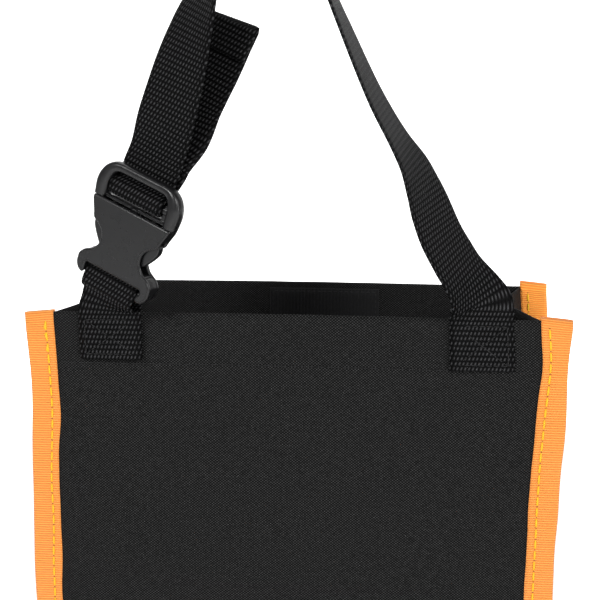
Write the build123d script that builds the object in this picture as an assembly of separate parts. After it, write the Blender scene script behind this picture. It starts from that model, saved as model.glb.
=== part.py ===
"""Garden tool bag: an open, gusseted cloth bag with bound seams and a buckled webbing strap.

Frame: millimetres, +X to the bag's right, +Y from the front panel to the back panel, +Z up.
The origin is the middle of the front binding's bottom edge, which stands on the ground.
"""
from build123d import *
import math
import os

os.makedirs("parts", exist_ok=True)

# ---- driving dimensions -------------------------------------------------------------------
width = 195.5        # front panel, seam to seam
depth = 90.0         # outside of the front panel to the outside of the back panel
height = 300.0       # base to mouth
cloth = 0.8          # coated oxford cloth
corner = 25.0        # lower corners of the front and back panels, at the seam
tape = 0.6           # binding tape
tape_fold = 11.7     # how far the folded tape stands out from a seam
flange = 11.0        # seam allowance inside the tape
hem = 22.0           # turned-in hem at the mouth
pleat = 12.0         # how far each gusset folds in at the mouth
ease = 0.35          # gap between pieces that move apart
web_w, web_t = 25.0, 1.3          # webbing
tab_x = 74.4         # the strap's tabs, each side of the middle
tab_down = 20.5      # how far the tabs are sewn down the front
patch_w, patch_h, patch_t = 52.0, 25.0, 1.5   # hook-and-loop patches
board_t = 3.0        # stiffener in the base

mouth = tape_fold + height
half = width / 2

# ---- buckle, in its own axes: v across the bars, u up along the buckle, w out of its front ------
bar_tilt, bar_yaw, lean = 23.5, 19.5, 11.5    # degrees: right end down, right end near, top near
bar_centre = Vector(-71.3, -5.5, mouth + 14.0)
body_w, body_l, body_t = 36.6, 31.2, 7.2      # female body
frame_w, frame_l, frame_t = 40.0, 46.6, 6.6   # male frame, and its top
bar_r = 1.7
slot_v = web_w / 2 + 1.2

t, y = math.radians(bar_tilt), math.radians(bar_yaw)
bar_dir = Vector(math.cos(y) * math.cos(t), -math.sin(y), -math.cos(y) * math.sin(t))
facing = Vector(0, -math.cos(math.radians(lean)), -math.sin(math.radians(lean)))
front_dir = (facing - bar_dir * facing.dot(bar_dir)).normalized()
buckle = Plane(origin=bar_centre, x_dir=bar_dir, z_dir=front_dir)


def local(v, u, w):
    """A point of the buckle, in the bag's frame."""
    return buckle.from_local_coords(Vector(v, u, w))


def save(name, solid):
    solid.label = name
    export_step(solid, f"parts/{name}.step")


# ---- the bag --------------------------------------------------------------------------------
def slab(y0, y1, grow, top=mouth):
    """A plate in the XZ plane with the panel's outline, grown past its seams."""
    w, h, r = width + 2 * grow, top - (tape_fold - grow), corner + grow
    at = Plane(origin=(0, y1, top - h / 2), x_dir=(1, 0, 0), z_dir=(0, -1, 0))
    face = Rectangle(w, h)
    face = fillet(face.vertices().sort_by(Axis.Y)[:2], r)
    return extrude(at * face, amount=y1 - y0)


def block(x0, x1, y0, y1, z0, z1):
    return Pos((x0 + x1) / 2, (y0 + y1) / 2, (z0 + z1) / 2) * Box(x1 - x0, y1 - y0, z1 - z0)


def binding(y_out, y_in, channel0, channel1):
    """Tape folded round a panel's flange: a U down one side, under the base and up the other."""
    lo, hi = min(y_out, y_in), max(y_out, y_in)
    ring = slab(lo, hi, tape_fold) - slab(lo - 1, hi + 1, 0, mouth + 1)
    return ring - slab(channel0, channel1, tape_fold - tape, mouth + 1)


def ribbon(points, thick):
    """The outline of a bent sheet of even thickness along a plan polyline."""
    left, right = [], []
    for i, p in enumerate(points):
        dirs = []
        for a, b in ((i - 1, i), (i, i + 1)):
            if a >= 0 and b < len(points):
                d = Vector(*points[b]) - Vector(*points[a])
                dirs.append(d.normalized())
        n = sum((Vector(-d.Y, d.X) for d in dirs), Vector(0, 0)).normalized()
        reach = thick / 2 / n.dot(Vector(-dirs[0].Y, dirs[0].X))
        left.append(Vector(*p) + n * reach)
        right.append(Vector(*p) - n * reach)
    return left + right[::-1]


y_front, y_back = cloth * 1.5, depth - cloth * 1.5 - ease     # mid-cloth of a gusset's seams
base_y0, base_y1 = cloth, depth - 2 * cloth - 2 * ease - tape - 1.0
flat_x = half - corner
bend = slab(base_y0, base_y1, -ease) - slab(base_y0 - 1, base_y1 + 1, -ease - cloth, mouth + 1)
bend += slab(cloth, 2 * cloth, flange) - slab(0, 3 * cloth, -0.5, mouth + 1)


def gusset(side):
    """A pleated side: folded in at the mouth, straight where it bends under to meet the base."""

    def section(z, fold):
        plan = [(half + flange, y_front), (half - 0.6, y_front), (half - fold, depth / 2),
                (half - 0.6, y_back), (half + flange, y_back)]
        ring = [Vector(side * p.X, p.Y, z) for p in ribbon(plan, cloth - 0.1)]
        return Wire.make_polygon(ring, close=True)

    low = tape_fold + corner
    wall = Solid.make_loft([section(low - 0.5, 1.4), section(mouth, pleat)], ruled=True)
    a, b = sorted((side * (flat_x + 0.1), side * 150))
    return wall + (bend & block(a, b, -5, depth + 5, -5, low))


front_panel = slab(0, cloth, flange)
back_panel = slab(depth - cloth, depth, flange)
save("front_panel", front_panel)
save("back_panel", back_panel)
save("front_hem", block(-half + 2, half - 2, cloth, 2 * cloth, mouth - hem, mouth))
save("back_hem", block(-half + 2, half - 2, depth - 2 * cloth, depth - cloth, mouth - hem, mouth))
save("binding_front", binding(-tape, 2 * cloth + tape, 0, 2 * cloth))
save("binding_back", binding(depth + tape, depth - 2 * cloth - 2 * ease - tape,
                             depth - 2 * cloth - 2 * ease, depth))
save("gusset_left", gusset(-1))
save("gusset_right", gusset(1))

base = bend & block(-flat_x, flat_x, -5, depth + 5, -5, tape_fold + corner)
save("base_panel", base)
board = block(-flat_x, flat_x, 3, base_y1 - 1, tape_fold + ease + cloth,
              tape_fold + ease + cloth + board_t)
save("base_board", fillet(board.edges().filter_by(Axis.Z), 6))

patch_top = mouth - 2.5
for name, y0 in (("hook_patch", 2 * cloth), ("loop_patch", depth - 2 * cloth - patch_t)):
    save(name, block(7 - patch_w / 2, 7 + patch_w / 2, y0, y0 + patch_t,
                     patch_top - patch_h, patch_top))


# ---- webbing ----------------------------------------------------------------------------------
def webbing(stations):
    """Flat webbing through stations of (centre, width direction), square to its route."""
    wires = []
    for i, (c, w) in enumerate(stations):
        a, b = stations[max(i - 1, 0)][0], stations[min(i + 1, len(stations) - 1)][0]
        along = (b - a).normalized()
        w = (w - along * w.dot(along)).normalized()
        n = along.cross(w)
        ring = [c + w * (sw * web_w / 2) + n * (sn * web_t / 2)
                for sw, sn in ((-1, -1), (1, -1), (1, 1), (-1, 1))]
        wires.append(Wire.make_polygon(ring, close=True))
    return Solid.make_loft(wires, ruled=True)


def station(x, y, above, slope, twist):
    """A place on the strap: how far above the mouth, the slope of its width and its twist."""
    s, q = math.radians(slope), math.radians(twist)
    across = Vector(math.cos(q) * math.cos(s), math.sin(q), math.cos(q) * math.sin(s))
    return Vector(x, y, mouth + above), across


tab_y = -web_t / 2
save("right_tab", block(tab_x - web_w / 2, tab_x + web_w / 2, -web_t, 0,
                        mouth - tab_down, mouth))
save("left_tab", block(-tab_x - web_w / 2, -tab_x + web_w / 2, -2 * web_t, 0,
                       mouth - tab_down + 2, mouth))

# x, y, height above the mouth, slope of the width and twist out of the panel's plane
root = [station(*row) for row in ((74.4, tab_y, 0.3, 0, 0), (74.4, tab_y - 0.1, 3.3, 0, 2),
                                  (74.2, tab_y - 0.3, 4.8, -1, 4), (73.5, -1.4, 6.1, -5, 9))]
save("right_tab_bend", webbing(root))
up_right = [station(*row) for row in (
    (73.0, -1.6, 7, -8, 12),
    (68.2, -3, 16, -8, 22),
    (62.6, -4.5, 26, 6, 35), (57.7, -5.7, 34.5, 8, 45), (53.4, -7, 44, 8, 51),
    (49.9, -8.3, 53, 12, 58), (46.4, -9.5, 61, 16, 64), (40.4, -11, 71, 24, 72),
    (31.3, -13.3, 87, 26, 76), (18, -18, 116, 20, 82), (3, -22.5, 150, 0, 90))]
over_top = [station(*row) for row in (
    (-2.5, -24.2, 160, 0, 90), (-6, -24.8, 163.5, 0, 90), (-9.5, -25, 164.5, 0, 90),
    (-13, -25, 163.5, 0, 90), (-17.3, -24.7, 158, 0, 91), (-21, -24, 148, 0, 92))]
down_left = [station(*row) for row in (
    (-21.1, -23.98, 147.7, 0, 92), (-34.8, -21.5, 117.3, 0, 133), (-46.7, -16, 81.2, -10, 151))]
save("strap", webbing(up_right + over_top))

# behind the outer bar, over the inner bar and back up behind, as (u, w) in the buckle's axes
turn_route = [(50.2, -3.9), (47.2, -3.35), (44.8, -3.15), (42.4, -3.1), (40.8, -1.2), (39.6, 0.9),
              (38.4, 1.95), (36.7, 2.2), (34.9, 1.8), (33.95, 0), (33.75, -1.9), (34.4, -3.5),
              (36.2, -4.6), (40.2, -5.1), (45.2, -5.3), (50.2, -6.2)]
turn = [(local(0, u, w), -bar_dir) for u, w in turn_route]
lead_in = [(local(0, u, w), -bar_dir) for u, w in ((54.2, -4.63), (50.6, -3.97))]
save("strap_load", webbing(down_left + lead_in))
save("strap_turn", webbing(turn))
lead_out = [(local(0, u, w), bar_dir) for u, w in ((50.6, -6.27), (54.2, -6.92))]
tail = lead_out + [station(*row) for row in (
    (-42.6, -8.4, 72.4, -28, -24.7), (-37.9, -8, 84.5, -22, -20), (-32.3, -7.8, 96.5, -21, -20),
    (-23.6, -7.4, 114.8, -20, -22))]
save("strap_tail", webbing(tail))
end, end_across = tail[-1]
along = (end - tail[-2][0]).normalized()
away = along.cross(end_across).normalized() * (web_t + 0.4)
save("tail_fold", webbing([(end - along * 12 + away, end_across), (end + away, end_across)]))

# the left tab's loop: two legs up from the sewn tab and a half turn over the female's lower bar
r_mid = bar_r + web_t / 2 + 0.15
ring = [(local(-0.6, r_mid * math.sin(q), r_mid * math.cos(q)), bar_dir)
        for q in (math.radians(a) for a in range(-60, 201, 20))]
feet = [[(Vector(-tab_x, -layer * web_t - lift / 20, mouth + lift), Vector(1, 0, 0))
         for lift in (ease, 2.0)] for layer in (1.5, 0.5)]
save("left_tab_loop", webbing(feet[0] + ring + feet[1][::-1]))


# ---- buckle -----------------------------------------------------------------------------------
def plate(half_outline, thick, mirrored=True):
    """A plate in the buckle's plane; half an outline is mirrored about its middle line."""
    pts = list(half_outline)
    if mirrored:
        pts += [(-v, u) for v, u in reversed(pts) if v > 1e-6]
    return extrude(make_face(Polyline(*pts, close=True)), amount=thick / 2, both=True)


def place(solid):
    return buckle.location * solid


def soften(solid, radius, pick):
    """Rounds the picked edges, with a smaller radius where the full one does not fit."""
    for r in (radius, radius * 0.6, radius * 0.3):
        try:
            done = fillet(pick(solid), r)
            if done.is_valid:
                return done
        except Exception:
            continue
    return solid


def outer_rims(thick):
    """Edges that lie in the front and back faces of a plate."""
    return lambda s: [e for f in s.faces().filter_by(Axis.Z)
                      if abs(abs(f.center().Z) - thick / 2) < 0.01 for e in f.edges()]


# female: a collar at the top, open sides for the prongs' heads, ears and the webbing bar below
collar_u, cavity_u, cavity_w = 23.6, 8.7, 4.2
body_side = [(0, body_l), (17.2, body_l), (body_w / 2, body_l - 1.0), (17.7, 27.8), (16.3, 24.2),
             (15.7, 21.8), (12.8, 20.5), (10.6, 18.4), (9.7, 15.6), (10.1, 12.7), (12.3, 9.7),
             (15.9, 7.9), (17.9, 5.4), (17.7, 1.8), (16.4, -0.6), (slot_v + 0.8, -2.2),
             (slot_v, -1.8), (slot_v, 3.4), (0, 3.4)]
female = soften(plate(body_side, body_t), 0.9, outer_rims(body_t))
female -= Pos(0, (cavity_u + collar_u) / 2, 0) * Box(40, collar_u - cavity_u, cavity_w)
female -= Pos(0, (collar_u + body_l) / 2 + 1, 0) * Box(27.4, body_l - collar_u + 2.1, cavity_w)
female += Pos(0, 0, 0) * Rot(0, 90, 0) * Cylinder(bar_r, 2 * slot_v + 1)
for side in (-1, 1):
    female += Pos(side * (slot_v + 1.3), 0, 0) * Rot(0, 90, 0) * Cylinder(2.5, 2.6)
save("buckle_female", place(female))

# male: a frame with an outer bar, a webbing window with a toothed inner bar, and a centre guide
frame_side = [(0, frame_l), (12.6, frame_l), (15.4, 45.9), (17.6, 44.0), (19.0, 41.0),
              (19.8, 37.5), (frame_w / 2, 34.5), (19.6, body_l + 0.4), (0, body_l + 0.4)]
frame = soften(plate(frame_side, frame_t), 1.6, outer_rims(frame_t))
window_lo, window_hi, beyond = body_l + 1.4, 43.0, frame_l + 3.2
frame -= Pos(0, (window_lo + window_hi) / 2, 0) * Box(2 * slot_v, window_hi - window_lo, 20)
frame -= Pos(0, body_l + 0.9, 3.0) * Box(2 * slot_v, 1.2, 4)
for side in (-1, 1):
    frame -= Pos(0, (window_hi + beyond) / 2, side * (2.3 + 2)) * Box(
        2 * slot_v, beyond - window_hi, 4)
inner_bar = Pos(0, 36.7, 0) * Box(2 * slot_v + 2, 2.8, 2.4)
frame += soften(inner_bar, 0.7, lambda s: s.edges().filter_by(Axis.X))
guide = Pos(0, (11 + body_l + 1.2) / 2, 0) * Box(3.4, body_l + 1.2 - 11, 3.2)
frame += soften(guide, 0.8, lambda s: s.edges().filter_by(Axis.Z))
save("buckle_male", place(frame))

# prongs: sprung arms whose heads catch under the collar and stand out at the sides
prong_side = [(8.5, body_l + 0.1), (10.9, body_l + 0.1), (10.7, 25.4), (11.2, collar_u - 0.3),
              (15.2, collar_u - 0.5), (15.8, 21.8), (15.9, 19.0), (15.2, 16.3), (13.5, 13.4),
              (11.2, 11.3), (9.3, 10.7), (8.1, 11.6), (8.0, 17.0), (8.2, 24.0)]
prong = plate(prong_side, 3.6, mirrored=False)
for name, solid in (("prong_right", prong), ("prong_left", mirror(prong, about=Plane.YZ))):
    save(name, place(solid))
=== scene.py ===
"""Looks of the garden tool bag: bound cloth shell, webbing strap and side-release buckle.

Metres, in the frame of the CAD model: +X right, +Y from front to back, +Z up.
"""
import math

import bmesh
import bpy
import numpy as np
from mathutils import Matrix, Vector, noise


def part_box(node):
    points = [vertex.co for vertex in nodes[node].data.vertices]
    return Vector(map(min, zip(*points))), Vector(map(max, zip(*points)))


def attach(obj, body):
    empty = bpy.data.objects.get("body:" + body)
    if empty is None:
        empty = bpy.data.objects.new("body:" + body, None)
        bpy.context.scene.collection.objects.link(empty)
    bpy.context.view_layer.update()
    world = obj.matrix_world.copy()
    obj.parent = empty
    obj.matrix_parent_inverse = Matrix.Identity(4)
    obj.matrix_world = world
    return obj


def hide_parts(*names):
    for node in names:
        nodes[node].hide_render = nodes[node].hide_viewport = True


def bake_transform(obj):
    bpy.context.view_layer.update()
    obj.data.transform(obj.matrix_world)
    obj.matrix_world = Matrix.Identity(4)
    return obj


MM = 0.001

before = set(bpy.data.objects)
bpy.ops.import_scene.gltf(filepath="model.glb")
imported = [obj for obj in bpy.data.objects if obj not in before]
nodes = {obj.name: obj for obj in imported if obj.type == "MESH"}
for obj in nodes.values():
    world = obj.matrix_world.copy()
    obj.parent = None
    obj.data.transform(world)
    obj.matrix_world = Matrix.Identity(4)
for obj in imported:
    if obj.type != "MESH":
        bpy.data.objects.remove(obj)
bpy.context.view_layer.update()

# ---- sizes and places ---------------------------------------------------------------------------
tape_fold = 11.7 * MM                       # how far a binding stands out from its seam
seam_in = 8.6 * MM                          # seam allowance inside a binding
stitch_out = 3.1 * MM                       # from the seam to the stitches of its binding
corner = 25 * MM                            # radius of the lower corners, at the seam
hem = 22 * MM                               # depth of the hem turned in at the mouth
cloth = 0.55 * MM
pleat = 12 * MM                             # inward fold of the gussets at the mouth
gusset_w = 93                               # a gusset between its seams, flat, in mm
web_w, web_t = 25 * MM, 1.35 * MM
web_mm = web_w / MM
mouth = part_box("front_panel")[1].z
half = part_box("binding_front")[1].x - tape_fold
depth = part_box("back_panel")[1].y
tab_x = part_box("right_tab")[0].x + web_w / 2
tab_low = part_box("right_tab")[0].z


def add(name, data):
    """An object in the scene for a mesh, curve, light or camera."""
    obj = bpy.data.objects.new(name, data)
    bpy.context.scene.collection.objects.link(obj)
    return obj


def smooth(x, low, high):
    """0 below low and 1 above high, with a soft rise between them."""
    t = min(1.0, max(0.0, (x - low) / (high - low)))
    return t * t * (3 - 2 * t)


def hump(x, centre, width):
    """1 at the centre, falling away to nothing on both sides."""
    return math.exp(-((x - centre) / width) ** 2)


# ---- camera ---------------------------------------------------------------------------------
cam_data = bpy.data.cameras.new("camera")
cam_data.lens = 69.0
cam_data.sensor_width = 36.0
cam = add("camera", cam_data)
pitch, yaw, roll = (math.radians(a) for a in (9.66, 4.3, 0.33))
cam.matrix_world = (Matrix.Translation((0.0363, -0.452, mouth + 0.0841))
                    @ Matrix.Rotation(yaw, 4, "Z") @ Matrix.Rotation(math.pi / 2 - pitch, 4, "X")
                    @ Matrix.Rotation(roll, 4, "Z"))
bpy.context.scene.camera = cam


# ---- materials --------------------------------------------------------------------------------
class Nodes:
    """Shorthand for building a material's node tree; u and v are its texture's mm."""

    def __init__(self, name, color, roughness, **sockets):
        self.mat = bpy.data.materials.new(name)
        self.mat.use_nodes = True
        self.tree = self.mat.node_tree
        self.bsdf = self.tree.nodes["Principled BSDF"]
        self.bsdf.inputs["Base Color"].default_value = (*color, 1)
        self.bsdf.inputs["Roughness"].default_value = roughness
        for key, value in sockets.items():
            self.bsdf.inputs[key.replace("_", " ")].default_value = value
        uv = self.tree.nodes.new("ShaderNodeUVMap")
        uv.uv_map = "mm"
        split = self.tree.nodes.new("ShaderNodeSeparateXYZ")
        self.link(uv.outputs[0], split.inputs[0])
        self.uv, self.u, self.v = uv.outputs[0], split.outputs[0], split.outputs[1]

    def link(self, a, b):
        self.tree.links.new(a, b)

    def math(self, op, *args, clamp=False):
        node = self.tree.nodes.new("ShaderNodeMath")
        node.operation = op
        node.use_clamp = clamp
        for i, a in enumerate(args):
            if isinstance(a, (int, float)):
                node.inputs[i].default_value = a
            else:
                self.link(a, node.inputs[i])
        return node.outputs[0]

    def wave(self, coord, period, phase=0.0):
        """sin of a coordinate in mm, from -1 to 1."""
        turned = self.math("MULTIPLY_ADD", coord, 2 * math.pi / period, phase)
        return self.math("SINE", turned)

    def noise(self, scale, detail=3.0, coords=None, stretch=(1, 1, 1)):
        """Noise from 0 to 1; the scale is in features per metre of the object."""
        if coords is None:
            coords = self.tree.nodes.new("ShaderNodeTexCoord").outputs["Object"]
        mapping = self.tree.nodes.new("ShaderNodeMapping")
        mapping.inputs["Scale"].default_value = stretch
        self.link(coords, mapping.inputs[0])
        node = self.tree.nodes.new("ShaderNodeTexNoise")
        node.inputs["Scale"].default_value = scale
        node.inputs["Detail"].default_value = detail
        self.link(mapping.outputs[0], node.inputs["Vector"])
        return node.outputs[0]

    def mix(self, factor, a, b, kind="MIX"):
        node = self.tree.nodes.new("ShaderNodeMix")
        node.data_type = "RGBA"
        node.blend_type = kind
        for key, value in ((0, factor), (6, a), (7, b)):
            if isinstance(value, (int, float)):
                node.inputs[key].default_value = value
            elif isinstance(value, tuple):
                node.inputs[key].default_value = (*value, 1)
            else:
                self.link(value, node.inputs[key])
        return node.outputs[2]

    def color(self, output):
        self.link(output, self.bsdf.inputs["Base Color"])

    def rough(self, value, low, high):
        node = self.tree.nodes.new("ShaderNodeMapRange")
        node.inputs["To Min"].default_value = low
        node.inputs["To Max"].default_value = high
        self.link(value, node.inputs["Value"])
        self.link(node.outputs[0], self.bsdf.inputs["Roughness"])

    def bump(self, height, strength, distance, under=None):
        node = self.tree.nodes.new("ShaderNodeBump")
        node.inputs["Strength"].default_value = strength
        node.inputs["Distance"].default_value = distance
        self.link(height, node.inputs["Height"])
        if under is not None:
            self.link(under, node.inputs["Normal"])
        self.link(node.outputs[0], self.bsdf.inputs["Normal"])
        return node.outputs[0]


def oxford(name):
    """Coated 600D oxford: small painted highlights where the weft crosses over, on near-black."""
    n = Nodes(name, (0.02, 0.02, 0.022), 0.72, Specular_IOR_Level=0.06)
    a, b = n.wave(n.u, 1.35), n.wave(n.v, 1.1, 0.4)
    dots = n.math("MULTIPLY_ADD", n.math("MULTIPLY", a, b), 0.5, 0.5)
    fleck = n.noise(900, 2.0)
    peaks = n.math("POWER", dots, 3.0)
    # light is painted highlight on the weave's crossings, mixed into the colour below
    light = n.math("MULTIPLY", peaks, n.math("MULTIPLY_ADD", fleck, 1.6, 0.05), clamp=True)
    patches = n.noise(28, 4.0)
    base = n.mix(light, (0.0002,) * 3, (0.058,) * 3)
    n.color(n.mix(n.math("MULTIPLY", patches, 0.1), base, (0.01, 0.01, 0.0105)))
    n.rough(patches, 0.66, 0.84)
    n.bump(dots, 0.6, 0.2 * MM)
    return n.mat


def grosgrain(name, low, high):
    """Ribbed orange tape: closely set ribs across its length, with a little weft between."""
    n = Nodes(name, (0.93, 0.36, 0.07), 0.6, Specular_IOR_Level=0.25, Sheen_Weight=0.12)
    ribs = n.wave(n.v, 1.0)
    weft = n.wave(n.u, 0.55)
    height = n.math("MULTIPLY_ADD", weft, 0.18, ribs)
    # painted shade: the rib valleys take the darker colour low and the crests the lighter colour
    # high
    painted_shade = n.math("MULTIPLY_ADD", height, 0.48, 0.55, clamp=True)
    blotch = n.noise(120, 3.0)
    color = n.mix(painted_shade, low, high)
    n.color(n.mix(n.math("MULTIPLY", blotch, 0.2), color, high))
    n.rough(blotch, 0.55, 0.72)
    n.bump(height, 0.8, 0.25 * MM)
    return n.mat


def webbing_material(name):
    """Polypropylene webbing: rows of small slanted floats, set half a float over in turn."""
    n = Nodes(name, (0.02, 0.02, 0.022), 0.45, Specular_IOR_Level=0.06)
    column, row = 1.5, 2.05
    rows = n.math("DIVIDE", n.v, row)
    parity = n.math("MULTIPLY", n.math("FLOORED_MODULO", n.math("FLOOR", rows), 2.0), 0.5)
    in_row = n.math("FRACT", rows)
    place = n.math("ADD", n.math("DIVIDE", n.u, column), parity)
    place = n.math("MULTIPLY_ADD", in_row, 0.45, place)
    across = n.math("ABSOLUTE", n.math("SINE", n.math("MULTIPLY", place, math.pi)))
    along = n.math("SINE", n.math("MULTIPLY", in_row, math.pi))
    height = n.math("MULTIPLY", n.math("POWER", across, 1.3), n.math("POWER", along, 0.7))
    strands = n.noise(2600, 2.0, stretch=(1, 1, 0.35))
    # light is painted glint on the floats and the near-black between them is painted shade in the
    # gaps; the selvedge keeps little of the glint
    light = n.math("MULTIPLY", n.math("POWER", height, 3.4),
                   n.math("MULTIPLY_ADD", strands, 1.4, 0.2), clamp=True)
    side = n.math("ABSOLUTE", n.math("SUBTRACT", n.math("FLOORED_MODULO", n.u, web_mm),
                                        web_mm / 2))
    selvedge = n.math("COMPARE", side, web_mm / 2 - 1.25, 0.3)
    shown = n.math("SUBTRACT", 1.0, n.math("MULTIPLY", selvedge, 0.85))
    light = n.math("MULTIPLY", light, shown)
    n.color(n.mix(light, (0.0002, 0.0002, 0.0003), (0.05, 0.05, 0.052)))
    n.rough(strands, 0.45, 0.65)
    n.bump(height, 0.9, 0.42 * MM)
    return n.mat


def moulded(name, color, roughness):
    """Satin moulded plastic with faint flow marks and softened edges."""
    n = Nodes(name, color, roughness, Specular_IOR_Level=0.42)
    marks = n.noise(260, 5.0)
    grain = n.noise(2600, 2.0)
    n.color(n.mix(marks, tuple(c * 0.75 for c in color), tuple(c * 1.45 for c in color)))
    n.rough(marks, roughness - 0.06, roughness + 0.1)
    edge = n.tree.nodes.new("ShaderNodeBevel")
    edge.samples = 6
    edge.inputs["Radius"].default_value = 0.55 * MM
    n.bump(grain, 0.12, 0.05 * MM, under=edge.outputs[0])
    return n.mat


def thread_material(name, color):
    """Twisted sewing thread."""
    n = Nodes(name, color, 0.5, Specular_IOR_Level=0.25)
    twist = n.wave(n.math("ADD", n.u, n.v), 0.45)
    # painted shade in the grooves of the twist, down to 0.55 of the colour; the ridges keep the
    # full colour
    painted_shade = n.math("MULTIPLY_ADD", twist, 0.5, 0.5)
    n.color(n.mix(painted_shade, tuple(c * 0.55 for c in color), color))
    n.bump(twist, 0.5, 0.08 * MM)
    return n.mat


def hook_and_loop(name, loops):
    """Hook or loop tape: fine upright ribs under a fuzz."""
    n = Nodes(name, (0.03, 0.03, 0.032), 0.85, Specular_IOR_Level=0.15, Sheen_Weight=0.1)
    ribs = n.wave(n.u, 1.6 if loops else 1.2)
    fuzz = n.noise(1500 if loops else 2400, 4.0)
    height = n.math("MULTIPLY_ADD", ribs, 0.45, fuzz)
    n.color(n.mix(fuzz, (0.001, 0.001, 0.001), (0.014, 0.014, 0.015)))
    n.bump(height, 0.8, 0.3 * MM)
    return n.mat


CLOTH = oxford("oxford_outside")
TAPE = grosgrain("grosgrain", (0.66, 0.155, 0.011), (0.93, 0.355, 0.068))
# the back tape's colours are lighter and more orange than the front's: painted light against the
# shade it gets deep behind the front panel
TAPE_BACK_PAINTED_LIGHT = grosgrain("grosgrain_back_painted_light", (0.95, 0.2, 0.012), (1.0, 0.43, 0.07))
WEB = webbing_material("webbing")
PLASTIC = moulded("buckle_plastic", (0.0045, 0.0045, 0.005), 0.27)
BOARD = moulded("board_plastic", (0.05, 0.05, 0.055), 0.5)
ORANGE_THREAD = thread_material("orange_thread", (1.0, 0.56, 0.02))
# painted shade: dark orange marks for the needle holes between the stitches
HOLE_SHADE = thread_material("stitch_hole_shade", (0.16, 0.035, 0.008))
BLACK_THREAD = thread_material("black_thread", (0.009, 0.009, 0.0095))
HOOKS = hook_and_loop("hook_tape", False)
LOOPS = hook_and_loop("loop_tape", True)


# ---- unevenness of the sewn shell ---------------------------------------------------------------
def warp(p):
    """A sewn edge isn't straight. Both sides wander a little: the right one bulges below its top
    and draws in further down, the left one leans out at the mouth. Nothing moves above 8 mm over
    the mouth, apart from the back right corner."""
    x, y, z = p
    back = smooth(y, 0.3 * depth, 0.9 * depth)
    side = min(1.0, abs(x) / half) ** 2 * (1 if x > 0 else -1)
    low = max(0.0, mouth - z)
    shift = side * 0.8 * noise.noise(Vector((z / (38 * MM), side, 2.7))) * smooth(low, 0, 25 * MM)
    if x > 0:
        x += (1.5 * MM * smooth(y, 0.6 * depth, 0.95 * depth)
              * smooth(z, mouth - 80 * MM, mouth) * (x / half) ** 2)
        shift -= side * 2.0 * smooth(low, 25 * MM, 95 * MM) * (1 - smooth(low, 170 * MM, 290 * MM))
        shift += side * 1.3 * hump(low, 17 * MM, 13 * MM)
    else:
        shift += side * (0.8 - 2.2 * back) * (1 - smooth(low, 0, 30 * MM))
        shift -= side * 1.1 * hump(low, 40 * MM, 18 * MM)
    x += shift * MM * (1 - smooth(z, mouth + 3 * MM, mouth + 8 * MM))
    return (x, y, z)


# ---- meshes -------------------------------------------------------------------------------------
def smooth_mesh(name, verts, faces, uvs, material):
    """A smooth mesh with a layer of texture coordinates in millimetres, one per face corner."""
    mesh = bpy.data.meshes.new(name)
    mesh.from_pydata(verts, [], faces)
    layer = mesh.uv_layers.new(name="mm")
    layer.data.foreach_set("uv", np.asarray(uvs, np.float32).ravel())
    mesh.polygons.foreach_set("use_smooth", [True] * len(faces))
    mesh.materials.append(material)
    return mesh


def grid(name, points, uv, material, closed=False, thick=0.0, side=0.0):
    """A piece from a grid of points (rows, columns, 3), with texture coordinates in millimetres.
    closed joins its last column to its first; thick makes a sheet of that thickness."""
    points, uv = np.asarray(points, float), np.asarray(uv, float)
    rows, cols = points.shape[:2]
    span = cols if closed else cols - 1
    faces, corners = [], []
    for i in range(rows - 1):
        for j in range(span):
            k = (j + 1) % cols
            faces.append((i * cols + j, i * cols + k, (i + 1) * cols + k, (i + 1) * cols + j))
            corners += [uv[i, j], uv[i, j + 1], uv[i + 1, j + 1], uv[i + 1, j]]
    verts = [warp(p) for p in points.reshape(-1, 3).tolist()]
    obj = add(name, smooth_mesh(name, verts, faces, corners, material))
    if thick:
        solid = obj.modifiers.new("thick", "SOLIDIFY")
        solid.thickness, solid.offset, solid.use_even_offset = thick, side, True
        settle(obj)
    return obj


def settle(obj):
    """Applies an object's modifiers to its mesh."""
    bpy.context.view_layer.update()
    seen = obj.evaluated_get(bpy.context.evaluated_depsgraph_get())
    mesh = bpy.data.meshes.new_from_object(seen)
    obj.modifiers.clear()
    obj.data = mesh


def lengths(points):
    """Running length along a line of points, in millimetres."""
    steps = np.linalg.norm(np.diff(np.asarray(points, float), axis=0), axis=1)
    return np.concatenate(([0.0], np.cumsum(steps))) / MM


def soft_noise(x, y, seed, size):
    """Noise from -1 to 1 over a surface, with features of the given size."""
    return noise.noise(Vector((x / size, y / size, seed)))


# ---- the cloth shell ----------------------------------------------------------------------------
def reach(z, grow=0.0):
    """Half the width of a panel's outline at height z, grown past its seam."""
    low = tape_fold + corner - z
    if low <= 0:
        return half + grow
    r = corner + grow
    return half - corner + math.sqrt(max(0.0, r * r - low * low))


def belly(x, z, facing=-1):
    """How far the cloth of a panel stands out of its plane: full below, with soft ripples and two
    hanging creases. Both mouths bow towards the back, so that they nest when closed."""
    across = max(0.0, 1 - (x / half) ** 2)
    up = smooth(z, tape_fold, tape_fold + 70 * MM) * smooth(mouth + 6 * MM - z, 0, 80 * MM)
    out = 2.6 * MM * across ** 0.8 * up
    out += 1.1 * MM * across ** 0.5 * up * soft_noise(x, z, 3.1, 55 * MM)
    near = smooth(z, mouth - 110 * MM, mouth - 5 * MM) * across ** 0.5
    for at, lean, deep in ((-9 * MM, 0.10, 0.5), (19 * MM, -0.05, 0.4)):
        out -= facing * deep * MM * near * hump(x - lean * (mouth - z), at, 5 * MM)
    out += facing * 3.2 * MM * across ** 2 * smooth(z, mouth - 95 * MM, mouth + 10 * MM)
    return out


def front_y(x, z):
    """The outside of the front panel."""
    return -belly(x, z)


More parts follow.
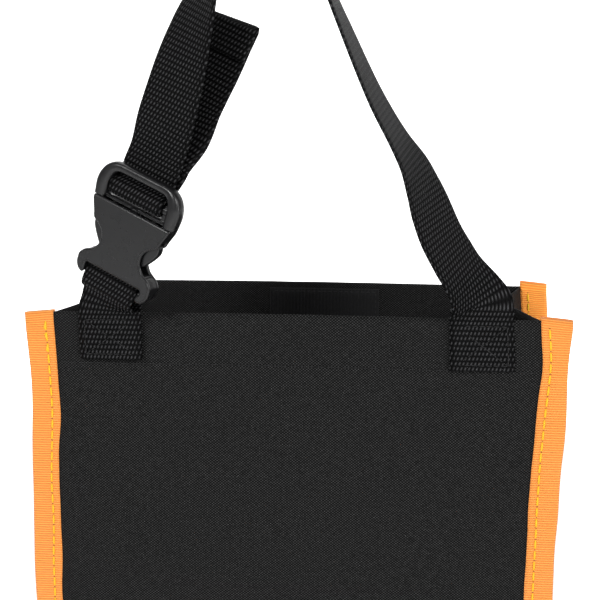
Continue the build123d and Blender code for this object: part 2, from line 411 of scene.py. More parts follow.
def panel(name, facing, body, replaced):
    """A panel with its turned-in hem: up the outside, over the mouth and down the inside."""
    outer, inner = (0.0, 1.0) if facing < 0 else (depth, -1.0)
    fold = 0.8 * MM
    profile = []
    z = tape_fold - seam_in
    while z < mouth - fold:
        profile.append((0.0, z))
        z += 2.0 * MM if z < 45 * MM or z > mouth - 30 * MM else 4.0 * MM
    for a in np.linspace(0, math.pi, 7):
        profile.append((fold * (1 - math.cos(a)), mouth - fold + fold * math.sin(a)))
    for z in np.linspace(mouth - 3 * MM, mouth - hem, 10):
        profile.append((2 * fold, z))
    cols, rows, uvs = 120, [], []
    run = lengths([(p[0], p[1], 0) for p in profile])
    for (step, z), v in zip(profile, run):
        inside = step / (2 * fold)
        ext = reach(z, seam_in) * (1 - inside) + (half - 1.5 * MM) * inside
        line, marks = [], []
        for s in np.linspace(-1, 1, cols):
            x = s * ext
            out = belly(x, z, facing) * facing if abs(x) < half else 0.0
            y = outer + inner * (cloth / 2 + step) + out
            line.append((x, y, z))
            marks.append((x / MM, v))
        rows.append(line)
        uvs.append(marks)
    obj = grid(name, rows, uvs, CLOTH, thick=cloth)
    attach(obj, body)
    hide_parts(*replaced)


panel("front_cloth", -1, "bag", ("front_panel", "front_hem"))
panel("back_cloth", 1, "back", ("back_panel", "back_hem"))

y_front, y_back = 1.2 * MM, depth - 1.5 * MM     # where the gussets meet the two panels


def gusset(side, name, node):
    """A pleated side from the mouth down, and round the lower corner under the bag."""
    flat_x, corner_z = half - corner, tape_fold + corner
    stations = [(half, z) for z in np.linspace(mouth, corner_z, 70)]
    r = corner - 0.3 * MM
    for a in np.linspace(0, math.pi / 2, 12)[1:]:
        stations.append((flat_x + r * math.cos(a), corner_z - r * math.sin(a)))
    run = lengths([(x, z, 0) for x, z in stations])
    rows, uvs = [], []
    plan = np.linspace(0, 1, 41)
    shallow = 1.2 * MM                           # the pleat's depth at the lower corner
    tip = 0.045                                  # the crease is rounded over this share
    tuck = 4 * MM                                # how far its edges go into the bindings
    for (x0, z), v in zip(stations, run):
        straight = z >= corner_z
        if straight:
            fold = shallow + (pleat - shallow) * smooth(z, corner_z - 5 * MM, mouth)
        else:
            fold = shallow * (1 - smooth(corner_z - z, 0, corner))
        away = math.hypot(x0 - flat_x, z - corner_z)
        line, marks = [], []
        for q in plan:
            tri = 1 - abs(2 * q - 1)
            tri = tri if tri < 1 - tip else 1 - tip / 2 - (1 - tri) ** 2 / (2 * tip)
            sag = 1.5 * MM * math.sin(2 * math.pi * q) ** 2 * smooth(z, 60 * MM, mouth)
            wob = 1.1 * MM * math.sin(math.pi * q) * soft_noise(q * 0.09, z, 7 + side, 45 * MM)
            inward = fold * tri - sag * 0.6 * tri + wob * tri
            if straight:
                x, zz = x0 - inward, z
            else:
                k = inward / max(away, 1e-6)
                x, zz = x0 - (x0 - flat_x) * k, z - (z - corner_z) * k
            line.append((side * x, y_front + (y_back - y_front) * q, zz))
            marks.append((q * gusset_w, v))
        edges = []
        for end, y in ((0, y_front), (-1, y_back)):
            if straight:
                edges.append((line[end][0] + side * tuck, y, line[end][2]))
            else:
                ux, uz = (x0 - flat_x) / away, (z - corner_z) / away
                edges.append((side * (x0 + ux * tuck), y, z + uz * tuck))
        rows.append([edges[0]] + line + [edges[1]])
        uvs.append([(marks[0][0] - 4, v)] + marks + [(marks[-1][0] + 4, v)])
    obj = grid(name, rows, uvs, CLOTH, thick=cloth)
    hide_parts(node)
    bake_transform(obj)


gusset(-1, "gusset_cloth_left", "gusset_left")
gusset(1, "gusset_cloth_right", "gusset_right")


def base():
    """The base, between the two lower corners, with its seam tucked into the front binding."""
    flat_x = half - corner
    rows, uvs = [], []
    for x in np.linspace(-flat_x, flat_x, 60):
        line, marks = [(x, y_front, tape_fold - 6 * MM)], [(x / MM, -6)]
        for q in np.linspace(0, 1, 24):
            y = y_front + (y_back - 1.5 * MM - y_front) * q
            sag = 0.25 * MM * math.sin(math.pi * q) * soft_noise(x, y, 5, 40 * MM)
            line.append((x, y, tape_fold + 0.6 * MM + sag))
            marks.append((x / MM, q * 88))
        rows.append(line)
        uvs.append(marks)
    obj = grid("base_cloth", rows, uvs, CLOTH, thick=cloth)
    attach(obj, "bag")
    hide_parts("base_panel")


base()


# ---- bindings -----------------------------------------------------------------------------------
def seam_path(step=2.0 * MM):
    """Stations down the left seam, under the base and up the right: (x, z, out x, out z)."""
    low, flat = tape_fold + corner, half - corner
    path = [(-half, z, -1.0, 0.0) for z in np.arange(mouth + 1.0 * MM, low, -step)]
    for a in np.linspace(0, math.pi / 2, 22):
        u = (-math.cos(a), -math.sin(a))
        path.append((-flat + corner * u[0], low + corner * u[1], *u))
    path += [(x, tape_fold, 0.0, -1.0) for x in np.arange(-flat + step, flat, step)]
    for a in np.linspace(math.pi / 2, 0, 22):
        u = (math.cos(a), -math.sin(a))
        path.append((flat + corner * u[0], low + corner * u[1], *u))
    path += [(half, z, 1.0, 0.0) for z in np.arange(low + step, mouth, step)]
    path.append((half, mouth + 1.9 * MM, 1.0, 0.0))
    return path


PATH = seam_path()
RUN = lengths([(x, z, 0) for x, z, _, _ in PATH])


def tape_section(v, y_mid, grip, seed):
    """The folded tape's line across a flange at v mm along it: (out, y) pairs of its outer face.
    The front one flares at its right end and draws in below it."""
    def wander(size, period, phase):
        return size * MM * noise.noise(Vector((v / period, seed, phase)))

    def face(start, stop, way):
        """One face of the fold, nipped along the stitches and swelling past them."""
        return [(out, y_mid + way * (grip - 0.25 * MM * hump(out, stitch_out, 0.9 * MM))
                 + swell * smooth(out, 3 * MM, far)) for out in np.linspace(start, stop, 9)]

    wave, lap, swell = wander(0.8, 24.0, 0.3), wander(0.35, 13.0, 5.3), wander(0.35, 17.0, 9.1)
    from_end = v - RUN[-1]
    loose = 1.2 * hump(from_end, 0, 9) - 1.9 * hump(from_end, -20, 12)
    far = tape_fold + wave + (loose * MM if y_mid < depth / 2 else 0.0)
    inner = -0.2 * MM                            # the tape reaches this far in over the panel
    bend = [(far - grip + grip * math.cos(a), y_mid + grip * math.sin(a) + swell)
            for a in np.linspace(-math.pi / 2, math.pi / 2, 9)[1:-1]]
    return face(inner + lap, far - grip, -1) + bend + face(far - grip, inner - lap, 1)


def bind(name, flange, node, material, over=0.0):
    """A binding round a whole flange; over is how much higher its right end is cut."""
    y_mid, grip, body, seed = flange
    rows, uvs = [], []
    for (x, z, ux, uz), v in zip(PATH, RUN):
        section = tape_section(v, y_mid, grip, seed)
        along = lengths([(o, y, 0) for o, y in section])
        cut = 1.2 * MM * (smooth(z, mouth - 12 * MM, mouth + 2 * MM) if abs(ux) > 0.9 else 0.0)
        top = over if z > mouth and ux > 0.9 else 0.0
        rows.append([(x + ux * o, y, z + uz * o + top - cut * o / tape_fold) for o, y in section])
        uvs.append([(u, v) for u in along])
    obj = grid(name, rows, uvs, material, thick=0.5 * MM, side=-1.0)
    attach(obj, body)
    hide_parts(node)


# each flange: its middle, half its thickness with the tape, its body and the seed of its noise
FRONT_FLANGE = (0.8 * MM, 1.45 * MM, "bag", 1.7)
BACK_FLANGE = (depth - 1.05 * MM, 1.6 * MM, "back", 4.9)
bind("binding_tape_front", FRONT_FLANGE, "binding_front", TAPE)
bind("binding_tape_back", BACK_FLANGE, "binding_back", TAPE_BACK_PAINTED_LIGHT, 0.9 * MM)


# ---- stitches -----------------------------------------------------------------------------------
def capsules(name, pairs, radius, material, body, flat=1.0):
    """One mesh of short threads: each is its two ends and the direction it stands out in."""
    verts, faces, uvs = [], [], []
    ring, bands = 7, (0.0, 0.35, 0.85, 1.0, 0.85, 0.35, 0.0)
    places = (0.0, 0.04, 0.14, 0.5, 0.86, 0.96, 1.0)
    for a, b, up in pairs:
        a, b, up = Vector(a), Vector(b), Vector(up).normalized()
        along = (b - a).normalized()
        wide = along.cross(up).normalized()
        start = len(verts)
        for t, size in zip(places, bands):
            c = a.lerp(b, t) + up * radius * 0.35 * math.sin(math.pi * t)
            for k in range(ring):
                q = 2 * math.pi * k / ring
                verts.append(c + wide * (radius * size * math.cos(q))
                             + up * (radius * flat * size * math.sin(q)))
        span = (b - a).length / MM
        for i in range(len(bands) - 1):
            for k in range(ring):
                k2 = (k + 1) % ring
                faces.append((start + i * ring + k, start + i * ring + k2,
                              start + (i + 1) * ring + k2, start + (i + 1) * ring + k))
                for ii, kk in ((i, k), (i, k + 1), (i + 1, k + 1), (i + 1, k)):
                    uvs.append((kk * 0.25, places[ii] * span))
    obj = add(name, smooth_mesh(name, [warp(v) for v in verts], faces, uvs, material))
    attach(obj, body)


def along_seam(v):
    """A place v mm along the seam path."""
    i = min(max(int(np.searchsorted(RUN, v)) - 1, 0), len(PATH) - 2)
    t = (v - RUN[i]) / max(RUN[i + 1] - RUN[i], 1e-9)
    return [p + (q - p) * t for p, q in zip(PATH[i], PATH[i + 1])]


def seam_stitches(name, flange):
    """Lock stitches through a binding, seen on both of its faces, and painted shade in the holes
    between them.
    """
    y_mid, grip, body, seed = flange
    pitch, thread, gap = 4.6, 4.0, 0.15
    threads, hole_shades = [], []
    for k in range(int((RUN[-1] - 8) / pitch)):
        v0 = 4.5 + k * pitch
        drift = 0.5 * MM * noise.noise(Vector((v0 / 16.0, seed, 2.2)))
        out = stitch_out + drift
        if v0 < 16:                              # the seam is started with a few back stitches
            pair = [along_seam(v0 + d) for d in (0.4, thread - 0.4)]
            pair = [(x + ux * (out + s * 0.7 * MM), y_mid - grip + 0.1 * MM, z + uz * out)
                    for (x, z, ux, uz), s in zip(pair, (1, -0.4) if k % 2 else (-0.4, 1))]
            threads.append((*pair, (0, -1, 0)))
        for face in (-1, 1):
            ends = []
            for v in (v0, v0 + thread, v0 + thread + gap, v0 + pitch - gap):
                x, z, ux, uz = along_seam(v)
                ends.append((x + ux * out, y_mid + face * (grip - 0.16 * MM), z + uz * out))
            threads.append((ends[0], ends[1], (0, face, 0)))
            hole_shades.append((ends[2], ends[3], (0, face, 0)))
    capsules(f"{name}_thread", threads, 0.47 * MM, ORANGE_THREAD, body, 0.7)
    capsules(f"{name}_holes", hole_shades, 0.3 * MM, HOLE_SHADE, body, 0.35)


seam_stitches("seam_front", FRONT_FLANGE)
seam_stitches("seam_back", BACK_FLANGE)


def dashes(a, b, pitch, share=0.8):
    """Splits the line from a to b into stitches."""
    a, b = Vector(a), Vector(b)
    n = max(1, round((b - a).length / pitch))
    return [(a.lerp(b, k / n), a.lerp(b, (k + share) / n)) for k in range(n)]


hem_z = mouth - 20.5 * MM
row = []
for p, q in dashes((-half + 2 * MM, 0, hem_z), (half - 2 * MM, 0, hem_z - 0.3 * MM), 3.6 * MM):
    p.y, q.y = front_y(p.x, p.z) - 0.05 * MM, front_y(q.x, q.z) - 0.05 * MM
    row.append((p, q, (0, -1, 0)))
capsules("hem_thread_front", row, 0.26 * MM, BLACK_THREAD, "bag", 0.8)
row = []
for p, q in dashes((-half + 2 * MM, 0, hem_z), (half - 2 * MM, 0, hem_z), 3.6 * MM):
    for y, up in ((depth + 0.1 * MM, 1), (depth - 2.2 * MM, -1)):
        ends = [Vector((e.x, y + belly(e.x, e.z, 1), e.z)) for e in (p, q)]
        row.append((*ends, (0, up, 0)))
capsules("hem_thread_back", row, 0.26 * MM, BLACK_THREAD, "back", 0.8)


# ---- hook-and-loop patches ----------------------------------------------------------------------
def patch(node, material, body, facing):
    """A tape patch sewn on round its edge, with its two cut ends pressed down."""
    low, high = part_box(node)
    y_sewn, y_face = (low.y, high.y) if facing > 0 else (high.y, low.y)
    rows, uvs = [], []
    for z in np.linspace(low.z, high.z, 26):
        line, marks = [], []
        for x in np.linspace(low.x, high.x, 50):
            edge = min(x - low.x, high.x - x, z - low.z, high.z - z)
            pile = smooth(edge, 0.4 * MM, 2.8 * MM)
            ripple = 0.12 * MM * soft_noise(x, z, 8.0, 6 * MM)
            y = y_sewn + (y_face - y_sewn) * (0.45 + 0.55 * pile) + ripple
            line.append((x, y - facing * belly(x, z, -facing), z))
            marks.append(((x - low.x) / MM, (z - low.z) / MM))
        rows.append(line)
        uvs.append(marks)
    obj = grid(node.replace("_patch", "_tape"), rows, uvs, material, thick=0.6 * MM, side=0.0)
    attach(obj, body)
    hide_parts(node)
    inset, row = 1.6 * MM, []
    ring = [(low.x + inset, low.z + inset), (high.x - inset, low.z + inset),
            (high.x - inset, high.z - inset), (low.x + inset, high.z - inset)]
    for a, b in zip(ring, ring[1:] + ring[:1]):
        for p, q in dashes((a[0], 0, a[1]), (b[0], 0, b[1]), 2.6 * MM):
            for e in (p, q):
                e.y = y_face - facing * (belly(e.x, e.z, -facing) + 0.25 * MM)
            row.append((p, q, (0, facing, 0)))
    capsules(f"{node}_thread", row, 0.24 * MM, BLACK_THREAD, body)


patch("hook_patch", HOOKS, "bag", 1)
patch("loop_patch", LOOPS, "back", -1)


# ---- webbing ------------------------------------------------------------------------------------
# the buckle hangs from the left tab: its lower bar is the middle of its own axes
tilt, turn_in, lean = (math.radians(a) for a in (23.5, 19.5, 11.5))
bar_dir = Vector((math.cos(turn_in) * math.cos(tilt), -math.sin(turn_in),
                  -math.cos(turn_in) * math.sin(tilt)))
ahead = Vector((0, -math.cos(lean), -math.sin(lean)))
front_dir = (ahead - bar_dir * ahead.dot(bar_dir)).normalized()
up_dir = front_dir.cross(bar_dir)
bar_centre = Vector((-71.3 * MM, -5.5 * MM, mouth + 14.0 * MM))


def local(v, u, w):
    """A point of the buckle: v across its bars, u up along it, w out of its front, in mm."""
    return bar_centre + (bar_dir * v + up_dir * u + front_dir * w) * MM


def station(x, y, above, slope, twist):
    """A place on the strap in mm: how far above the mouth, the slope of its width, its twist."""
    s, q = math.radians(slope), math.radians(twist)
    across = Vector((math.cos(q) * math.cos(s), math.sin(q), math.cos(q) * math.sin(s)))
    return Vector((x * MM, y * MM, mouth + above * MM)), across


def spline(stations, steps=9):
    """A smooth line through stations of (centre, width direction): centripetal Catmull-Rom."""
    pts = [np.array([*c, *(np.array(a) * web_w / 2)]) for c, a in stations]
    pts = [2 * pts[0] - pts[1]] + pts + [2 * pts[-1] - pts[-2]]
    knots = [0.0]
    for a, b in zip(pts, pts[1:]):
        knots.append(knots[-1] + max(np.linalg.norm((b - a)[:3]), 1e-5) ** 0.5)
    out = []
    for i in range(1, len(pts) - 2):
        t0, t1, t2, t3 = knots[i - 1:i + 3]
        p0, p1, p2, p3 = pts[i - 1:i + 3]
        for s in range(steps + (1 if i == len(pts) - 3 else 0)):
            t = t1 + (t2 - t1) * s / steps
            a1 = ((t1 - t) * p0 + (t - t0) * p1) / (t1 - t0)
            a2 = ((t2 - t) * p1 + (t - t1) * p2) / (t2 - t1)
            a3 = ((t3 - t) * p2 + (t - t2) * p3) / (t3 - t2)
            b1 = ((t2 - t) * a1 + (t - t0) * a2) / (t2 - t0)
            b2 = ((t3 - t) * a2 + (t - t1) * a3) / (t3 - t1)
            c = ((t2 - t) * b1 + (t - t1) * b2) / (t2 - t1)
            out.append((Vector(c[:3]), Vector(c[3:]).normalized()))
    return out


def frames(line, square=True):
    """Adds to each (centre, width direction) the face's normal and the run so far in mm."""
    run = lengths([c for c, _ in line])
    out = []
    for i, (c, a) in enumerate(line):
        along = (line[min(i + 1, len(line) - 1)][0] - line[max(i - 1, 0)][0]).normalized()
        if square:
            a = (a - along * a.dot(along)).normalized()
        out.append((c, a, along.cross(a).normalized(), run[i]))
    return out


def strip(name, line):
    """Webbing along framed stations: rounded selvedges and a slightly uneven edge."""
    half_t, spots = web_t / 2, []
    for s in np.linspace(-1, 1, 17):
        edge = max(0.0, (abs(s) - 0.94) / 0.06)
        spots.append((s, 1.0 - 0.55 * edge))
    loop = spots + [(s, -t) for s, t in spots[::-1]]
    us = [(s + 1) * web_mm / 2 for s, _ in spots]
    us += [web_mm + (1 - s) * web_mm / 2 for s, _ in spots[::-1]] + [2 * web_mm]
    rows, uvs = [], []
    for c, a, n, run in line:
        ripple = 0.16 * MM * noise.noise(Vector((run / 7.0, 1.3, 0.7)))
        rows.append([c + a * (s * (web_w / 2 + ripple)) + n * (t * half_t) for s, t in loop])
        uvs.append([(u, run) for u in us])
    obj = grid(name, rows, uvs, WEB, closed=True)
    cap_ends(obj, len(rows), len(loop))
    return obj


def cap_ends(obj, rows, cols):
    """Closes the two ends of a strip."""
    mesh = obj.data
    verts = [tuple(v.co) for v in mesh.vertices]
    uv = [tuple(d.uv) for d in mesh.uv_layers["mm"].data]
    faces = [tuple(p.vertices) for p in mesh.polygons]
    half_cols = cols // 2
    for first in (0, (rows - 1) * cols):
        for j in range(half_cols - 1):
            quad = (first + j, first + j + 1, first + cols - 2 - j, first + cols - 1 - j)
            faces.append(quad if first else quad[::-1])
            uv += [(j, 0), (j + 1, 0), (j + 1, 1), (j, 1)]
    obj.data = smooth_mesh(mesh.name, verts, faces, uv, mesh.materials[0])


def on_front(x, above, layer):
    """On the front panel, that many thicknesses of webbing out from it."""
    z = mouth + above * MM
    return Vector((x, front_y(x, z) - web_t * layer, z)), Vector((1, 0, 0))


# the strap's route, as the arguments of station(): up from the right tab and over the top, down
# to the buckle, round its inner bar (up, out pairs in the buckle's axes) and up the free tail
right_rows = ((74.4, -0.75, 3.3, 0, 2), (74.3, -0.95, 6, 0, 8), (72.9, -1.4, 9, -1, 23),
              (70.2, -2.2, 13.5, 0, 35), (66.6, -3.3, 19, 1, 43), (62.2, -4.5, 26, 4, 45),
              (57.4, -5.7, 34.5, 7, 48), (53.4, -7, 44, 8, 51), (49.9, -8.3, 53, 12, 58),
              (46.4, -9.5, 61, 16, 64), (40.4, -11, 71, 24, 72), (31.3, -13.3, 87, 26, 76),
              (18, -18, 116, 20, 82),
              (3, -22.5, 150, 0, 90), (-2.5, -24.2, 160, 0, 90), (-6, -24.8, 163.5, 0, 90),
              (-9.5, -25, 164.5, 0, 90), (-13, -25, 163.5, 0, 90), (-17.3, -24.7, 158, 0, 91),
              (-21, -24, 148, 0, 92))
left_rows = ((-34.8, -21.5, 117.3, 0, 133), (-47.0, -16, 81.2, -14, 158))
turn_route = ((54.2, -4.63), (50.2, -3.9), (47.2, -3.35), (44.8, -3.15), (42.4, -3.1),
              (40.8, -1.2), (39.6, 0.9), (38.4, 1.95), (36.7, 2.2), (34.9, 1.8), (33.95, 0),
              (33.75, -1.9), (34.4, -3.5), (36.2, -4.6), (40.2, -5.1), (45.2, -5.3),
              (50.2, -6.2), (54.2, -6.92))
tail_rows = ((-43.0, -8.4, 72.4, -26, -23), (-38.2, -8, 84.5, -23, -21),
             (-32.3, -7.8, 96.5, -21, -20), (-23.6, -7.4, 114.8, -20, -22))

tab_down = (mouth - tab_low) / MM
sewn = [on_front(tab_x, -d, 0.55) for d in np.linspace(tab_down, 0, 8)]
climb = sewn + [station(*r) for r in right_rows]
drop = [station(*r) for r in left_rows]
turn = [(local(-0.9 + 2.4 * smooth(i, 14, 17), u, w), -bar_dir)
        for i, (u, w) in enumerate(turn_route)]
tail = [(c, -a) for c, a in (station(*r) for r in tail_rows)]
STEPS = 9
line = spline(climb + drop + turn + tail, STEPS)
end, end_across = line[-1]
away = (end - line[-3][0]).normalized()              # the tail's end is folded back on itself
lift = away.cross(end_across).normalized() * web_t * 1.05
line += [(end + away * 0.9 * MM + lift * 0.5, end_across), (end + lift, end_across)]
line += [(end - away * d * MM + lift, end_across) for d in (3, 6, 9, 12)]
line = frames(line)
top = (len(climb) - 1) * STEPS                      # where the strap starts down to the buckle
into = (len(climb) + len(drop) + 1) * STEPS         # where it goes in behind the outer bar

strap = strip("strap_webbing", line[:top + 1])
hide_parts("right_tab", "right_tab_bend", "strap")
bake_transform(strap)
load = strip("strap_load_webbing", line[top:into + 1])
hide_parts("strap_load")
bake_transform(load)
tail_obj = strip("strap_tail_webbing", line[into:])
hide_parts("strap_turn", "strap_tail", "tail_fold")
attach(tail_obj, "male")

bar_r = 1.7                                          # radius of the buckle's lower bar, in mm
loop_r = bar_r + 0.8                                 # of the webbing's middle round it


def leg(foot, head, steps=6):
    """Stations from the sewn tab up to the loop; the width turns with the bar on the way."""
    out = []
    for k in range(1, steps):
        t = k / steps
        a = foot[1].lerp(head[1], smooth(t, 0, 1)).normalized()
        rise = foot[0].lerp(head[0], t)
        rise.y = foot[0].y + (head[0].y - foot[0].y) * smooth(t, 0, 1)
        out.append((rise, a))
    return out


loop_route = [(-7.0, 0.6), (-6.5, 2.3), (-5.0, 3.1), (-2.8, 3.0)]
loop_route += [(loop_r * math.sin(q), loop_r * math.cos(q))
               for q in (math.radians(a) for a in range(0, 201, 20))]
loop = [(local(-0.5, u, w), bar_dir) for u, w in loop_route]
over = [on_front(-tab_x, -d, 1.55) for d in (tab_down - 2, tab_down - 5, tab_down - 8, 8, 4, 0)]
under = [on_front(-tab_x, -d, 0.5) for d in (0, 4, 8, tab_down - 8, tab_down - 5, tab_down - 2)]
left_line = spline(over + leg(over[-1], loop[0]) + loop + leg(loop[-1], under[0]) + under, 6)
tab = strip("left_tab_webbing", frames(left_line, square=False))
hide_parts("left_tab", "left_tab_loop")
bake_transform(tab)


def box_stitch(name, x, low, high, layer, body):
    """A sewn box with a cross in it."""
    w = web_w / 2 - 2.6 * MM
    corners = [(x - w, low), (x + w, low), (x + w, high), (x - w, high)]
    lines = list(zip(corners, corners[1:] + corners[:1]))
    lines += [(corners[0], corners[2]), (corners[1], corners[3])]
    row = []
    for a, b in lines:
        for p, q in dashes((a[0], 0, a[1]), (b[0], 0, b[1]), 2.7 * MM, 0.86):
            for e in (p, q):
                e.y = front_y(e.x, e.z) - web_t * (layer + 0.5) - 0.05 * MM
            row.append((p, q, (0, -1, 0)))
    capsules(name, row, 0.24 * MM, BLACK_THREAD, body, 0.8)


box_stitch("right_tab_thread", tab_x, tab_low + 2.4 * MM, mouth - 2.2 * MM, 0.55, "bag")
box_stitch("left_tab_thread", -tab_x, tab_low + 4.2 * MM, mouth - 2.2 * MM, 1.55, "bag")


# ---- buckle -------------------------------------------------------------------------------------
# in mm, in the buckle's own axes: v across, u up, w out of its front
body_l, slot_v = 31.2, 13.7                          # length of the socket, half its bar's slot
plate_in, plate_out, wall = 2.1, 3.6, 2.85           # depths of its two plates and its walls
meet = body_l + 0.12                                 # where the plug's shoulder sits on it


def rounded(points, radius, steps=5):
    """A closed outline with each corner turned over a curve."""
    out = []
    for i, p in enumerate(points):
        p, a, b = (np.array(q, float) for q in (p, points[i - 1], points[(i + 1) % len(points)]))
        la, lb = np.linalg.norm(a - p), np.linalg.norm(b - p)
        s = p + (a - p) * min(radius, 0.48 * la) / la
        e = p + (b - p) * min(radius, 0.48 * lb) / lb
        out += [(1 - t) ** 2 * s + 2 * t * (1 - t) * p + t * t * e
                for t in np.linspace(0, 1, steps)]
    return out


def moulding(name, outline, w0, w1, edge, corner_r=1.2):
    """A plate of the buckle between depths w0 and w1, with its rims rounded, in mm."""
    data = bpy.data.curves.new(name, "CURVE")
    data.dimensions, data.fill_mode = "2D", "BOTH"
    pts = rounded(outline, corner_r)
    spl = data.splines.new("POLY")
    spl.points.add(len(pts) - 1)
    for q, (v, u) in zip(spl.points, pts):
        q.co = (v * MM, u * MM, 0, 1)
    spl.use_cyclic_u = True
    data.bevel_depth, data.offset, data.bevel_resolution = edge * MM, -edge * MM, 3
    data.extrude = ((w1 - w0) / 2 - edge) * MM
    obj = add(name, data)
    bpy.context.view_layer.update()
    mesh = bpy.data.meshes.new_from_object(obj.evaluated_get(
        bpy.context.evaluated_depsgraph_get()))
    bpy.data.objects.remove(obj)
    put_in_buckle(mesh, (w0 + w1) / 2)
    return mesh


def put_in_buckle(mesh, w=0.0):
    """Turns a mesh made in the buckle's own axes into its place, at depth w mm."""
    frame_of = Matrix((bar_dir, up_dir, front_dir)).transposed().to_4x4()
    mesh.transform(Matrix.Translation(bar_centre + front_dir * w * MM) @ frame_of)


def swept(path, sizes, power=2.6, ring=20):
    """A bar of the buckle along a path of (v, u, w) with a softly squared section, in mm."""
    path = [Vector(q) for q in path]
    rows = []
    for i, c in enumerate(path):
        along = (path[min(i + 1, len(path) - 1)] - path[max(i - 1, 0)]).normalized()
        side = along.cross(Vector((0, 0, 1))).normalized()
        a, b = sizes[i]
        row = []
        for k in range(ring):
            q = 2 * math.pi * k / ring
            x, y = math.cos(q), math.sin(q)
            x = math.copysign(abs(x) ** (2 / power), x)
            y = math.copysign(abs(y) ** (2 / power), y)
            row.append((c + side * a * x + Vector((0, 0, b * y))) * MM)
        rows.append(row)
    verts = [tuple(v) for row in rows for v in row]
    faces = [(i * ring + k, i * ring + (k + 1) % ring, (i + 1) * ring + (k + 1) % ring,
              (i + 1) * ring + k) for i in range(len(rows) - 1) for k in range(ring)]
    faces += [tuple(range(ring)), tuple(range(len(verts) - 1, len(verts) - ring - 1, -1))]
    mesh = bpy.data.meshes.new("swept")
    mesh.from_pydata(verts, [], faces)
    put_in_buckle(mesh)
    return mesh


def assemble(name, meshes, body, node):
    """One piece of the buckle from its mouldings."""
    joined = bmesh.new()
    for mesh in meshes:
        joined.from_mesh(mesh)
    bmesh.ops.recalc_face_normals(joined, faces=joined.faces)
    mesh = bpy.data.meshes.new(name)
    joined.to_mesh(mesh)
    mesh.uv_layers.new(name="mm")
    mesh.set_sharp_from_angle(angle=math.radians(38))
    mesh.polygons.foreach_set("use_smooth", [True] * len(mesh.polygons))
    mesh.materials.clear()
    mesh.materials.append(PLASTIC)
    obj = add(name, mesh)
    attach(obj, body)
    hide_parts(node)


def both_sides(half_outline):
    """A whole outline from its right half."""
    return list(half_outline) + [(-v, u) for v, u in reversed(half_outline) if v > 1e-6]


right_side = [(18.3, body_l), (18.35, body_l - 1.6), (17.7, 27.8), (16.3, 24.2), (15.7, 21.8),
              (12.8, 20.5), (10.6, 18.4), (9.7, 15.6), (10.1, 12.7), (12.3, 9.7), (15.9, 7.9),
              (17.9, 5.4), (17.9, 1.6), (16.6, -0.9)]
hook_end = [(14.6, -2.2), (12.6, -2.1), (12.2, -0.9), (12.9, 0.6), (slot_v, 1.6), (slot_v, 3.4)]
plain_end = [(slot_v + 0.8, -2.0), (slot_v, -1.2), (slot_v, 3.4)]
left_side = [(-v, u) for v, u in reversed(right_side + plain_end)]
front_face = right_side + hook_end + left_side
back_face = right_side + plain_end + left_side
female = [moulding("front", front_face, plate_in, plate_out, 0.7),
          moulding("back", back_face, -plate_out, -plate_in, 0.7)]
collar = [(13.7, 23.6), (16.1, 24.2), (17.6, 27.8), (18.3, 30.2), (18.2, 31.1), (13.7, 31.1)]
ear = [(slot_v, -1.6), (16.3, -0.8), (17.8, 1.6), (17.8, 5.4), (15.8, 7.8), (slot_v, 8.6)]
for k in (-1, 1):
    for outline, name in ((collar, "collar"), (ear, "ear")):
        female.append(moulding(name, [(k * v, u) for v, u in outline], -wall, wall, 0.3))
female.append(moulding("wall", both_sides([(0, 8.6), (slot_v, 8.6), (slot_v, 3.45), (0, 3.45)]),
                       -wall, wall, 0.3, 0.3))
female.append(swept([(v, 0, 0) for v in np.linspace(-14.2, 14.2, 12)], [(bar_r, bar_r)] * 12, 2.0))
assemble("buckle_socket", female, "female", "buckle_female")

rail = [(16.7, meet), (16.8, 33.6), (16.9, 36.4), (16.55, 39.2), (15.5, 41.9),
        (13.6, 43.9), (11.0, 44.75), (8.0, 44.85), (4.0, 44.85), (0, 44.85)]
size = [(2.7, 3.1), (2.85, 3.2), (3.0, 3.3), (2.9, 3.25), (2.6, 3.0), (2.2, 2.7), (1.9, 2.4),
        (1.8, 2.3), (1.8, 2.3), (1.8, 2.3)]
route = rail + [(-v, u) for v, u in rail[-2::-1]]
sizes = size + size[-2::-1]
fine = spline([(Vector((v, u, 0)) * MM, Vector((0, 0, 1))) for v, u in route], 4)
fine_sizes = []
for i in range(len(fine)):
    t = i / 4
    j = min(int(t), len(sizes) - 2)
    fine_sizes.append([a + (b - a) * (t - j) for a, b in zip(sizes[j], sizes[j + 1])])
male = [swept([c / MM for c, _ in fine], fine_sizes, 2.8, 28)]
male.append(moulding("sill", both_sides([(0, 32.7), (14.9, 32.7), (14.9, meet), (0, meet)]),
                     -3.2, 1.4, 0.3, 0.3))
# a dark block, not on the real buckle, fills the window's right corner beside the webbing,
# standing in for the shade there
male.append(moulding("shade_filler", [(11.9, 32), (14.9, 32), (14.9, 40.5), (13.6, 40.5), (11.9, 38.6)],
                     -3.0, 0.6, 0.3, 0.5))
male.append(swept([(v, 36.7, 0) for v in np.linspace(-14.9, 14.9, 12)], [(1.4, 1.2)] * 12, 3.0))
male.append(moulding("guide", both_sides([(0, 11), (1.7, 11), (1.7, 32.4), (0, 32.4)]),
                     -1.6, 1.6, 0.6, 1.4))
assemble("buckle_plug", male, "male", "buckle_male")

arm = [(8.5, body_l - 0.3), (10.9, body_l - 0.3), (10.7, 25.4), (11.2, 23.4), (15.0, 23.1),
       (15.8, 21.8), (15.7, 19.2), (14.3, 16.6), (12.3, 13.8), (10.7, 11.7), (9.3, 10.9),
       (8.1, 11.6), (8.0, 17.0), (8.2, 24.0)]
assemble("buckle_prong_right", [moulding("prong", arm, -1.8, 1.8, 0.5)], "prong_r",
         "prong_right")
assemble("buckle_prong_left", [moulding("prong", [(-v, u) for v, u in arm], -1.8, 1.8, 0.5)],
         "prong_l", "prong_left")

mesh = nodes["base_board"].data
mesh.materials.clear()
mesh.materials.append(BOARD)


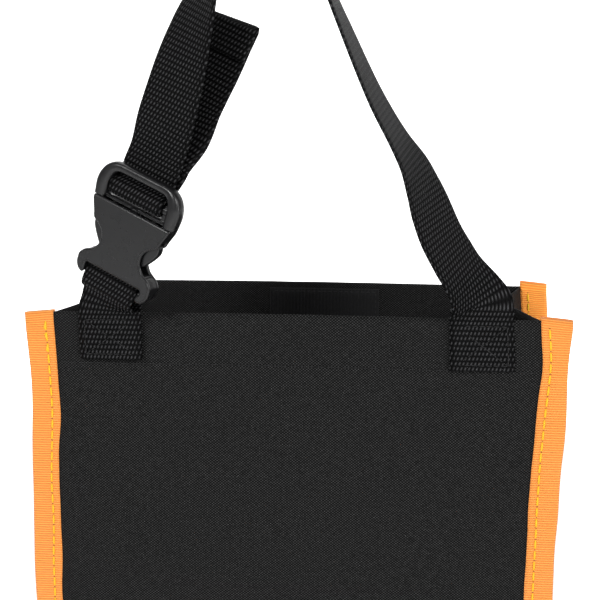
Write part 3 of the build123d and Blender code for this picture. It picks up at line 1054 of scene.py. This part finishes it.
# ---- floor and light ----------------------------------------------------------------------------
def sweep_floor():
    """A pale floor that curves up far behind the object."""
    rows, uvs, across = [], [], np.linspace(-4, 4, 9)
    profile = [(y, 0.0) for y in np.linspace(-3.0, 2.2, 12)]
    profile += [(2.2 + 1.2 * math.sin(a), 1.2 - 1.2 * math.cos(a))
                for a in np.linspace(0, math.pi / 2, 16)[1:]]
    profile += [(3.4, z) for z in (2.0, 3.0, 4.0)]
    for y, z in profile:
        rows.append([(x, y, z) for x in across])
        uvs.append([(x, y) for x in across])
    n = Nodes("pale_floor", (0.93, 0.93, 0.93), 0.8, Specular_IOR_Level=0.2)
    n.color(n.mix(n.noise(3, 2.0), (0.92, 0.92, 0.92), (0.95, 0.95, 0.95)))
    n.bsdf.inputs["Emission Color"].default_value = (1, 1, 1, 1)
    n.bsdf.inputs["Emission Strength"].default_value = 0.3
    grid("floor", rows, uvs, n.mat)


def area_light(name, place, target, size, power):
    """A white rectangular light, which the camera doesn't see."""
    data = bpy.data.lights.new(name, "AREA")
    data.shape, data.size, data.size_y = "RECTANGLE", size[0], size[1]
    data.energy = power
    obj = add(name, data)
    obj.location = place
    obj.visible_camera = False
    obj.rotation_euler = (Vector(target) - Vector(place)).to_track_quat("-Z", "Y").to_euler()


sweep_floor()
aim = (0, 0.03, mouth)
area_light("key", (-0.75, -1.3, 1.15), aim, (0.5, 0.5), 20)
area_light("fill", (1.0, -1.3, 0.95), aim, (0.7, 0.7), 13)
area_light("top", (0.1, 0.5, 1.9), aim, (1.2, 0.9), 6)
area_light("right_edge", (1.1, -0.4, 0.5), aim, (0.12, 0.9), 3)
area_light("backdrop", (0, 0.9, 1.0), (0, 3.4, 0.9), (2.6, 1.4), 75)
world = bpy.data.worlds.new("studio")
world.use_nodes = True
world.node_tree.nodes["Background"].inputs["Color"].default_value = (1, 1, 1, 1)
world.node_tree.nodes["Background"].inputs["Strength"].default_value = 0.34
bpy.context.scene.world = world
bpy.context.scene.view_settings.view_transform = "Standard"
